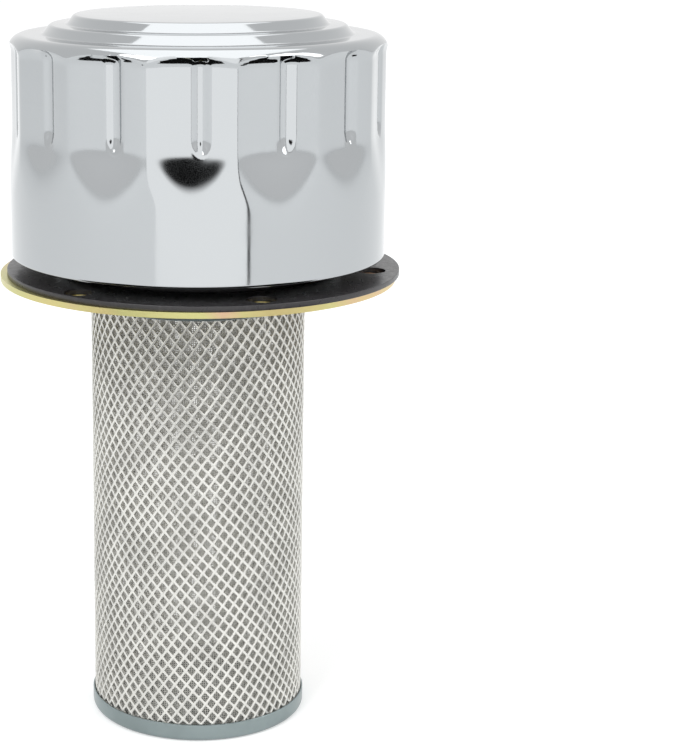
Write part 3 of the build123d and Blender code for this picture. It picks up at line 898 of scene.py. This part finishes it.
def background_rays(tree):
    """1 for the rays that see the white backdrop: the camera's, and those that metal and glass send on."""
    seen = add_node(tree, "ShaderNodeLightPath").outputs
    direct = add_node(tree, "ShaderNodeMath", {"operation": "MAXIMUM"},
                      {0: seen["Is Camera Ray"], 1: seen["Is Glossy Ray"]})
    return add_node(tree, "ShaderNodeMath", {"operation": "MAXIMUM"},
                    {0: direct, 1: seen["Is Transmission Ray"]})


class BREATHER_OT_studio(bpy.types.Operator):
    """Set the floor, the light and the camera"""

    bl_idname = "breather.studio"
    bl_label = "Studio"

    def execute(self, context):
        studio = context.scene.breather_studio
        scene = context.scene
        scene.view_settings.view_transform = "Standard"
        self.floor()
        self.surroundings(scene, studio)
        self.lamps()
        self.camera(scene, studio)
        return {"FINISHED"}

    def floor(self):
        bpy.ops.mesh.primitive_circle_add(vertices=128, radius=6, fill_type="NGON",
                                          location=(0, 0, CAD_LOW.z))
        floor = bpy.context.object
        floor.name = "studio_floor"
        material, tree, shader, _ = new_material("matt_white_paper_sweep", {
            "Base Color": (*linear("#DDDDDD"), 1), "Roughness": 0.9, "Emission Color": WHITE})
        # The lift takes the lit paper up to the backdrop's white, and leaves the breather's shadow on it.
        lift = add_node(tree, "ShaderNodeMath", {"operation": "MULTIPLY", 1: 0.34},
                        {0: background_rays(tree)})
        link_inputs(tree, shader, {"Emission Strength": lift})
        floor.data.materials.append(material)

    def surroundings(self, scene, studio):
        world = bpy.data.worlds.new("studio_surround")
        scene.world = world
        world.use_nodes = True
        tree = world.node_tree
        tree.nodes.clear()
        light = add_node(tree, "ShaderNodeBackground", {"Color": COOL_WHITE, "Strength": studio.surround})
        white = add_node(tree, "ShaderNodeBackground", {"Color": WHITE, "Strength": 1.0})
        both = add_node(tree, "ShaderNodeMixShader", links={0: background_rays(tree), 1: light, 2: white})
        add_node(tree, "ShaderNodeOutputWorld", links={"Surface": both})
        for card in UPRIGHT_CARDS:
            studio_card(math.pi / 2, *card)
        for card in LEVEL_CARDS:
            studio_card(0.0, *card)

    def lamps(self):
        for name, place, power in LAMPS:
            lamp = bpy.data.lights.new(name, "AREA")
            lamp.shape = "SQUARE"
            lamp.size = 1.8
            lamp.energy = power
            lamp.specular_factor = 0.25
            holder = bpy.data.objects.new(name, lamp)
            holder.location = place
            holder.rotation_euler = (-Vector(place)).to_track_quat("-Z", "Y").to_euler()
            bpy.context.scene.collection.objects.link(holder)

    def camera(self, scene, studio):
        data = bpy.data.cameras.new("studio_camera")
        data.lens = studio.lens
        data.sensor_width = 36
        data.shift_x = studio.shift_x
        data.shift_y = studio.shift_y
        holder = bpy.data.objects.new("studio_camera", data)
        holder.location = (0, -studio.distance, studio.height)
        holder.rotation_euler = (math.pi / 2 - studio.pitch, 0, 0)
        scene.collection.objects.link(holder)
        scene.camera = holder


class BREATHER_PT_panel(bpy.types.Panel):
    """Sidebar panel that lists the breather's pieces"""

    bl_idname = "BREATHER_PT_panel"
    bl_label = "Filler breather"
    bl_space_type = "VIEW_3D"
    bl_region_type = "UI"
    bl_category = "Breather"

    def draw(self, context):
        for operator in OPERATORS:
            self.layout.operator(operator.bl_idname)
        for name in SETTINGS:
            group = getattr(context.scene, name)
            box = self.layout.box()
            for key in group.bl_rna.properties.keys():
                if key not in ("rna_type", "name"):
                    box.prop(group, key)


SETTINGS = {
    "breather_cap": CapSettings,
    "breather_flange": FlangeSettings,
    "breather_strainer": StrainerSettings,
    "breather_studio": StudioSettings,
}
OPERATORS = (
    BREATHER_OT_cap_shell,
    BREATHER_OT_mounting_flange,
    BREATHER_OT_gasket,
    BREATHER_OT_cap_seal,
    BREATHER_OT_strainer_mesh,
    BREATHER_OT_strainer_liner,
    BREATHER_OT_strainer_ends,
    BREATHER_OT_inner_pieces,
    BREATHER_OT_studio,
)


def register():
    for made in (*SETTINGS.values(), *OPERATORS, BREATHER_PT_panel):
        bpy.utils.register_class(made)
    for name, group in SETTINGS.items():
        setattr(bpy.types.Scene, name, PointerProperty(type=group))


def unregister():
    for name in SETTINGS:
        delattr(bpy.types.Scene, name)
    for made in reversed((*SETTINGS.values(), *OPERATORS, BREATHER_PT_panel)):
        bpy.utils.unregister_class(made)


def main():
    register()
    for operator in OPERATORS:
        group, name = operator.bl_idname.split(".")
        getattr(getattr(bpy.ops, group), name)()


if __name__ == "__main__":
    main()
